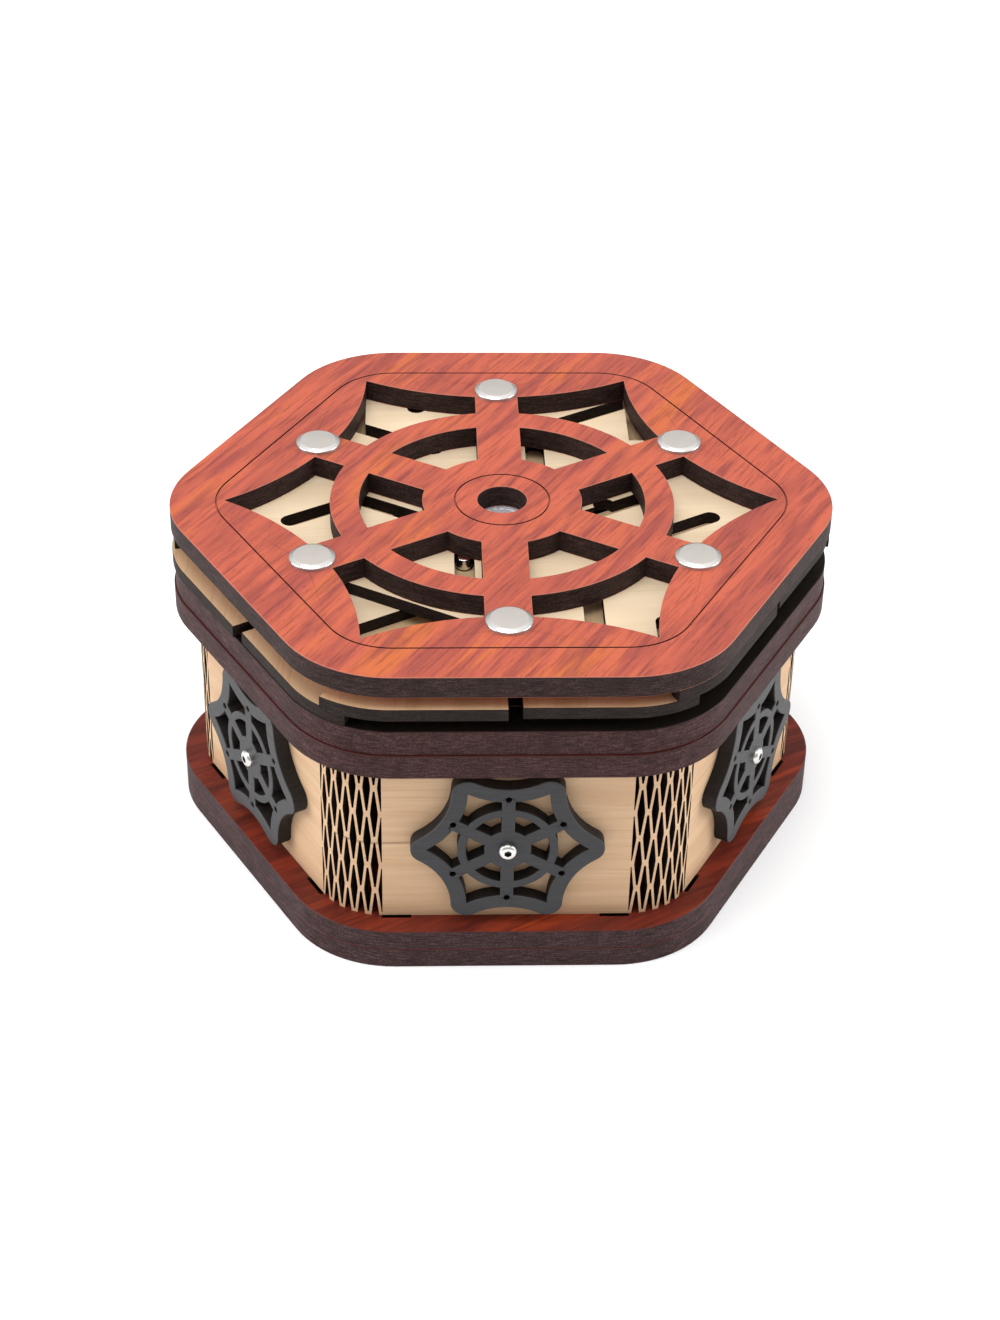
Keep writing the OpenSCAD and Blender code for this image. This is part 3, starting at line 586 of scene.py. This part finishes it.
# The dull steel is the real finish of the hidden bars and tubes, and painted shade on the lid screws' sides.
shade_and_dull_metal = metal("shade_and_dull_steel", (0.56, 0.55, 0.54, 1), 0.35, 0.5)
# The socket metal is near black: painted shade inside the hexagon socket.
socket_shade_metal = metal("socket_painted_shade", (0.14, 0.13, 0.13, 1), 0.4, 0.55)
knob_metal = metal("button_plate", (0.74, 0.71, 0.68, 1), 0.2, 0.3, 0.1)
cast_metal = metal("cast_disc", (0.95, 0.95, 0.98, 1), 0.45, 0.65, 0.4, 0.7, 0.05)
metals = (bright_metal, satin_metal, shade_and_dull_metal, socket_shade_metal, knob_metal, cast_metal)
print("metals:", [material.name for material in metals])

# %% [markdown]
# ## Dressing the frame
#
# A node whose shape is right keeps its solid and only gets a better material. The
# slot to fill is on the object, so the mesh itself isn't touched.


# %% Give each solid its wood or metal
def dress(names, material):
    """Puts one material on the slots of the named nodes, and counts these."""
    for name in names:
        for slot in frame["nodes"][name].material_slots:
            slot.link = "OBJECT"
            slot.material = material
    return len(names)


dressed = dress(["side_wall"], wall_wood)
dressed += dress([f"lock_tab_{k}" for k in SIDES], tab_wood)
dressed += dress(["guide_plate", "runner_plate", "mid_rail"], sheet_wood)
dressed += dress(["post_spacers"] + [f"rosette_{k}_lock_bar" for k in SIDES], shade_and_dull_metal)
print("dressed:", dressed, "nodes")

# %% [markdown]
# ## Breaking the edges of the sheets
#
# Each plate, leaf and rosette leaves the beam with sharp edges, and light sanding
# takes them off. That narrow rim catches light along every outline, so it does
# more for the look than its size suggests. A bevel modifier would also round the
# engraved lines and make them too wide. So a copy of the solid is merged into
# clean faces, its rim edges are picked in code, and only these are bevelled.

# %% Helpers that select
BODIES = frame["record"]["behaviour"]["bodies"]
BODY_OF = {node: body for body, nodes in BODIES.items() for node in nodes}
SMOOTH_BELOW = math.radians(30)


def only(piece):
    """Leaves edit mode and makes one piece the only selected and the active one."""
    if bpy.context.mode != "OBJECT":
        bpy.ops.object.mode_set(mode="OBJECT")
    bpy.ops.object.select_all(action="DESELECT")
    piece.select_set(True)
    bpy.context.view_layer.objects.active = piece


def pick(piece, kind, test):
    """Opens a piece in edit mode with the edges or faces selected that pass a test."""
    only(piece)
    bpy.ops.object.mode_set(mode="EDIT")
    bpy.ops.mesh.select_mode(type=kind)
    bpy.ops.mesh.select_all(action="DESELECT")
    net = bmesh.from_edit_mesh(piece.data)
    chosen = [part for part in (net.faces if kind == "FACE" else net.edges) if test(part)]
    for part in chosen:
        part.select_set(True)
    bmesh.update_edit_mesh(piece.data)
    return len(chosen)


def finish_piece(piece, name, materials, slot, body, *stands_for):
    """Names a piece, gives it its materials, and hangs it on its body. The slot is not used."""
    only(piece)
    bpy.ops.object.transform_apply(location=True, rotation=True, scale=True)
    bpy.ops.object.shade_smooth_by_angle(angle=SMOOTH_BELOW)
    piece.name = name
    piece.data.name = name
    piece.data.materials.clear()
    for material in materials:
        piece.data.materials.append(material)
    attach(piece, body)
    if stands_for:
        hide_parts(*stands_for)
    return piece


# %% Break the edges of one sheet
GROOVE_DEPTH = 0.8 * MM
RIM_ANGLES = (math.radians(40), math.radians(140))
SAME_PLACE, SAME_LEVEL = 0.002 * MM, 0.01 * MM
SAME_PLANE = math.radians(0.5)


def is_rim(edge, level):
    """True for a sharp edge of a sheet that no shallow groove wall touches."""
    if len(edge.link_faces) != 2 or not RIM_ANGLES[0] < edge.calc_face_angle() < RIM_ANGLES[1]:
        return False
    if not level:
        return True
    if abs(edge.verts[0].co.z - edge.verts[1].co.z) > SAME_LEVEL:
        return False
    for face in edge.link_faces:
        heights = [corner.co.z for corner in face.verts]
        if abs(face.normal.z) < 0.5 and max(heights) - min(heights) < GROOVE_DEPTH:
            return False
    return True


def soften(node, width, material, slot, level=True):
    """Replaces a solid by a copy with its rims bevelled, and counts these edges."""
    piece = bpy.data.objects.new(node + "_sanded", frame["nodes"][node].data.copy())
    bpy.context.scene.collection.objects.link(piece)
    only(piece)
    bpy.ops.object.mode_set(mode="EDIT")
    bpy.ops.mesh.select_all(action="SELECT")
    bpy.ops.mesh.remove_doubles(threshold=SAME_PLACE)
    bpy.ops.mesh.dissolve_limited(angle_limit=SAME_PLANE)
    bpy.ops.mesh.quads_convert_to_tris(quad_method="BEAUTY", ngon_method="BEAUTY")
    bpy.ops.object.mode_set(mode="OBJECT")
    bpy.ops.mesh.customdata_custom_splitnormals_clear()
    rims = pick(piece, "EDGE", lambda edge: is_rim(edge, level))
    bpy.ops.mesh.bevel(offset=width, segments=1, affect="EDGES", clamp_overlap=False)
    finish_piece(piece, node + "_sanded", [material], slot, BODY_OF[node], node)
    return rims


# %% Break the edges of the red plates
PLATE_RIM, LEAF_RIM = 0.15 * MM, 0.12 * MM
RED_PLATES = {"lid_plate": lid_wood, "lid_base_plate": lid_base_wood, "body_rim": rim_wood,
              "base_plate": base_wood, "base_underplate": base_wood}
for node, material in RED_PLATES.items():
    print(node, "rim edges:", soften(node, PLATE_RIM, material, "padauk"))

# %% Break the edges of the leaves and the rosettes
for k in SIDES:
    for part in ("main", "side"):
        leaf_rims = soften(f"slider_{k}_{part}_leaf", LEAF_RIM, leaf_wood, "maple")
    rosette_rims = soften(f"rosette_{k}", PLATE_RIM, charcoal, "dark_wood", level=False)
print("rim edges of a side leaf:", leaf_rims, "of a rosette:", rosette_rims)

# %% [markdown]
# ## The lid screws
#
# A lid screw is a hollow post with a wide flat head, closed from below by a second
# screw. The head has a satin top and a polished sloping rim. It starts as a disc
# primitive. The rim is an inset of the top face that rises, and the post is an
# inset of the bottom face that is extruded down and bored from its end. One screw
# is modelled and copied round the circle.

# %% Measure the screws' places in the frame
lid_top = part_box("lid_plate")[1].z
post_foot, head_top = (corner.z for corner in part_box("lid_screws"))
HEAD_R, POST_R, BORE_R = 5 * MM, 2.5 * MM, 1.55 * MM
SLOPE_IN, SLOPE_UP, RING_ROUND = 1.0 * MM, 0.45 * MM, 0.12 * MM
BORE_END = 1 * MM
screw_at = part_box("lid_screws")[1].y - HEAD_R
head_h = head_top - lid_top
print("screws at", round(screw_at / MM, 2), "mm, head", round(head_h / MM, 2), "mm high")


# %% Helpers for turned pieces
NEAR = 0.02 * MM


def disc(radius, height, base, sides=64):
    """A disc primitive with its lower face at the given height."""
    if bpy.context.mode != "OBJECT":
        bpy.ops.object.mode_set(mode="OBJECT")
    bpy.ops.object.select_all(action="DESELECT")
    bpy.ops.mesh.primitive_cylinder_add(vertices=sides, radius=radius, depth=height,
                                        location=(0, 0, base + height / 2))
    piece = bpy.context.object
    bpy.ops.object.transform_apply(location=True, rotation=True, scale=True)
    return piece


def pick_end(piece, height, up):
    """Selects the end face at a height that looks up or down."""
    def is_end(face):
        return face.normal.z * up > 0.9 and abs(face.calc_center_median().z - height) < NEAR
    return pick(piece, "FACE", is_end)


def step(inward, along):
    """Insets the selected face and then extrudes it along Z."""
    bpy.ops.mesh.inset(thickness=inward, depth=0)
    if along:
        bpy.ops.mesh.extrude_region_move(TRANSFORM_OT_translate={"value": (0, 0, along)})


def is_level(edge):
    """True for an edge of a ring, which keeps its height."""
    return abs(edge.verts[0].co.z - edge.verts[1].co.z) < 0.001 * MM


def round_rings(piece, width, segments, test):
    """Rounds the sharp rings of a turned piece that pass a test."""
    def sharp_ring(edge):
        if not is_level(edge) or len(edge.link_faces) != 2:
            return False
        return edge.calc_face_angle() > 0.3 and test(edge.verts[0].co)
    picked = pick(piece, "EDGE", sharp_ring)
    if picked:
        bpy.ops.mesh.bevel(offset=width, segments=segments, affect="EDGES", clamp_overlap=False)
    return picked


def sloped_head(top, side_height, up):
    """A flat head with a sloping rim, its seat at Z = 0 and its face looking up or down."""
    low = 0 if up > 0 else -side_height
    head = disc(HEAD_R, side_height, low)
    pick_end(head, side_height * up, up)
    bpy.ops.mesh.inset(thickness=SLOPE_IN, depth=top - side_height)
    return head


# %% Model one lid screw
screw = sloped_head(head_h, head_h - SLOPE_UP, 1)
pick_end(screw, 0, -1)
step(HEAD_R - POST_R, post_foot - lid_top)
step(POST_R - BORE_R, lid_top - post_foot - BORE_END)
rings = round_rings(screw, RING_ROUND, 3, lambda place: place.z > 0.1 * MM)
bpy.ops.object.mode_set(mode="OBJECT")
print("screw rings rounded:", rings, "faces:", len(screw.data.polygons))

# %% [markdown]
# The shop's way to repeat a turned piece is to move one to its place on the circle
# and to copy it. All six screws are one node in the frame, so the copies are
# joined. The satin top and the turned side are a second and a third material, given
# by the faces' own height and slope. The side gets the darker dull steel, which is
# painted shade along the heads' lower edge.


# %% Copy the screw round the circle
def ring_of(piece, radius, lift, count=6):
    """Copies of a piece round the middle, joined into one."""
    copies = []
    for k in range(count):
        only(piece)
        bpy.ops.object.duplicate()
        copy = bpy.context.object
        angle = math.radians(60 * k + 30)
        copy.location = (radius * math.cos(angle), radius * math.sin(angle), lift)
        copy.rotation_euler = (0, 0, angle)
        copies.append(copy)
    bpy.data.objects.remove(piece)
    bpy.ops.object.select_all(action="DESELECT")
    for copy in copies:
        copy.select_set(True)
    bpy.context.view_layer.objects.active = copies[0]
    bpy.ops.object.transform_apply(location=True, rotation=True, scale=True)
    bpy.ops.object.join()
    return bpy.context.object


def paint_faces(piece, index, test):
    """Gives one of its materials to the faces that pass a test on middle and normal."""
    count = 0
    for face in piece.data.polygons:
        if test(face.center, face.normal):
            face.material_index = index
            count += 1
    return count


screws = ring_of(screw, screw_at, lid_top)
LID_SCREW_METALS = [bright_metal, satin_metal, shade_and_dull_metal]
finish_piece(screws, "lid_screws_turned", LID_SCREW_METALS, "polished_steel", "lid", "lid_screws")
satin = paint_faces(screws, 1, lambda middle, normal: normal.z > 0.99 and middle.z > head_top - NEAR)
# Painted shade: the heads' sides get the darker dull steel.
turned = paint_faces(screws, 2, lambda middle, normal: abs(normal.z) < 0.3)
print("lid screws:", len(screws.data.polygons), "faces,", satin, "satin,", turned, "turned sides")

# %% [markdown]
# The screws below have the same head turned over, a plain shank and a hexagon
# socket. A socket is a hole with its own outline, so it's cut by a Boolean with a
# six-sided cutter, which is then applied.


# %% Model the closing screws
def cut_socket(piece, radius, low, high):
    """Cuts a hexagon socket between two heights along Z."""
    bpy.ops.object.mode_set(mode="OBJECT")
    cutter = disc(radius, high - low, low, sides=6)
    only(piece)
    cutting = piece.modifiers.new("socket", "BOOLEAN")
    cutting.operation = "DIFFERENCE"
    cutting.solver = "EXACT"
    cutting.object = cutter
    bpy.ops.object.modifier_apply(modifier=cutting.name)
    bpy.data.objects.remove(cutter)


SHANK_R, CAP_SOCKET_R, CAP_SOCKET_DEEP = 1.5 * MM, 1.6 * MM, 0.75 * MM
PAST = 0.5 * MM
cap_low, cap_high = (corner.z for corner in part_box("lid_screw_caps"))
cap_head = post_foot - cap_low
cap = sloped_head(-cap_head, cap_head - SLOPE_UP, -1)
pick_end(cap, 0, 1)
step(HEAD_R - SHANK_R, cap_high - post_foot)
round_rings(cap, RING_ROUND, 3, lambda place: place.z < -0.1 * MM or place.z > 1 * MM)
cut_socket(cap, CAP_SOCKET_R, -cap_head - PAST, -cap_head + CAP_SOCKET_DEEP)
caps = ring_of(cap, screw_at, post_foot)
finish_piece(caps, "lid_screw_caps_turned", [bright_metal], "polished_steel", "lid", "lid_screw_caps")
print("closing screws:", len(caps.data.polygons), "faces")

# %% [markdown]
# ## The rosette screws
#
# A small button screw passes through each rosette, the wall and the lock bar, and
# ends in a nut. Its head is a disc whose upper ring is bevelled in many steps to a
# dome, with a hexagon socket. It is modelled upright, then laid down to look out
# of its side, once for each side.

# %% Model one rosette screw
front_low, front_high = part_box("rosette_5_screw")
knob_face = -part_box("rosette_5")[0].y
knob_tip, knob_start = -front_low.y, -front_high.y
knob_height = (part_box("rosette_5")[0].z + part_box("rosette_5")[1].z) / 2
KNOB_R, KNOB_SHANK_R, DOME_ROUND = 2 * MM, 1.25 * MM, 0.95 * MM
SOCKET_R, SOCKET_DEEP = 0.85 * MM, 0.9 * MM
knob_head = knob_tip - knob_face
knob = disc(KNOB_R, knob_head, 0, sides=48)
round_rings(knob, DOME_ROUND, 8, lambda place: place.z > 0.5 * MM)
pick_end(knob, 0, -1)
step(KNOB_R - KNOB_SHANK_R, knob_start - knob_face)
cut_socket(knob, SOCKET_R, knob_head - SOCKET_DEEP, knob_head + PAST)
print("rosette screw:", len(knob.data.polygons), "faces, head", round(knob_head / MM, 2), "mm high")

# %% Add its nut and lay a copy on each side
NUT_R, NUT_T, NUT_ROUND = 2.8 * MM, 2.2 * MM, 0.3 * MM
nut_face = -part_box("rosette_5_lock_bar")[1].y
nut = disc(NUT_R, NUT_T, nut_face - NUT_T - knob_face, sides=6)
pick(nut, "EDGE", is_level)
bpy.ops.mesh.bevel(offset=NUT_ROUND, segments=2, affect="EDGES")
bpy.ops.object.mode_set(mode="OBJECT")
only(knob)
nut.select_set(True)
bpy.ops.object.join()
knob = bpy.context.object
knob_middle = Vector((0, 0, knob_height))


def in_socket(middle, axis):
    """True for a place inside the socket of the screw along an axis."""
    reach = middle.dot(axis)
    beside = (middle - axis * reach - knob_middle).length
    return knob_tip - SOCKET_DEEP - NEAR < reach < knob_tip - NEAR and beside < SOCKET_R


for k in SIDES:
    only(knob)
    bpy.ops.object.duplicate()
    laid = bpy.context.object
    angle = math.radians(60 * k - 30)
    axis = Vector((math.cos(angle), math.sin(angle), 0))
    laid.rotation_euler = (math.radians(90), 0, angle + math.radians(90))
    laid.location = axis * knob_face + knob_middle
    finish_piece(laid, f"rosette_{k}_screw_turned", [knob_metal, socket_shade_metal], "polished_steel",
                 f"rosette_{k}", f"rosette_{k}_screw")
    # The socket's faces get the dark metal, painted shade for the hole.
    dark = paint_faces(laid, 1, lambda middle, normal: in_socket(middle, axis))
bpy.data.objects.remove(knob)
print("rosette screws laid at", round(knob_height / MM, 2), "mm,", dark, "socket faces each")

# %% [markdown]
# ## Guide pins and the disc
#
# The guide pins are ground steel with a bevelled end and a small centre mark. The
# disc under the middle hole is dished, with a raised rim. Both are discs that are
# inset, sunk and bevelled.

# %% Guide pins
MARK_R, MARK_DEEP, MARK_SHARE, PIN_ROUND = 0.4 * MM, 0.3 * MM, 0.3, 0.25 * MM
for k in SIDES:
    low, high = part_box(f"slider_{k}_pin")
    radius = (high.x - low.x) / 2
    pin = disc(radius, high.z - low.z, low.z, sides=40)
    pick_end(pin, high.z, 1)
    step(radius - MARK_R, -MARK_DEEP)
    bpy.ops.transform.resize(value=(MARK_SHARE, MARK_SHARE, 1))
    round_rings(pin, PIN_ROUND, 3, lambda place: place.z > high.z - NEAR and place.xy.length > radius * 0.9)
    bpy.ops.object.mode_set(mode="OBJECT")
    pin.location = ((low.x + high.x) / 2, (low.y + high.y) / 2, 0)
    finish_piece(pin, f"slider_{k}_pin_turned", [bright_metal], "polished_steel",
                 f"slider_{k}", f"slider_{k}_pin")
print("pins:", round(radius * 2 / MM, 2), "mm thick")

# %% Disc under the middle hole
DISH_RIM, DISH_DEEP, DISH_ROUND = 1.6 * MM, 0.35 * MM, 0.15 * MM
low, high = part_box("centre_disc")
radius = (high.x - low.x) / 2
middle_disc = disc(radius, high.z - low.z, low.z, sides=96)
pick_end(middle_disc, high.z, 1)
step(DISH_RIM, -DISH_DEEP)
round_rings(middle_disc, DISH_ROUND, 2, lambda place: place.z > high.z - DISH_DEEP - NEAR)
finish_piece(middle_disc, "centre_disc_dished", [cast_metal], "steel", "lid", "centre_disc")
print("disc:", round(radius * 2 / MM, 2), "mm wide")
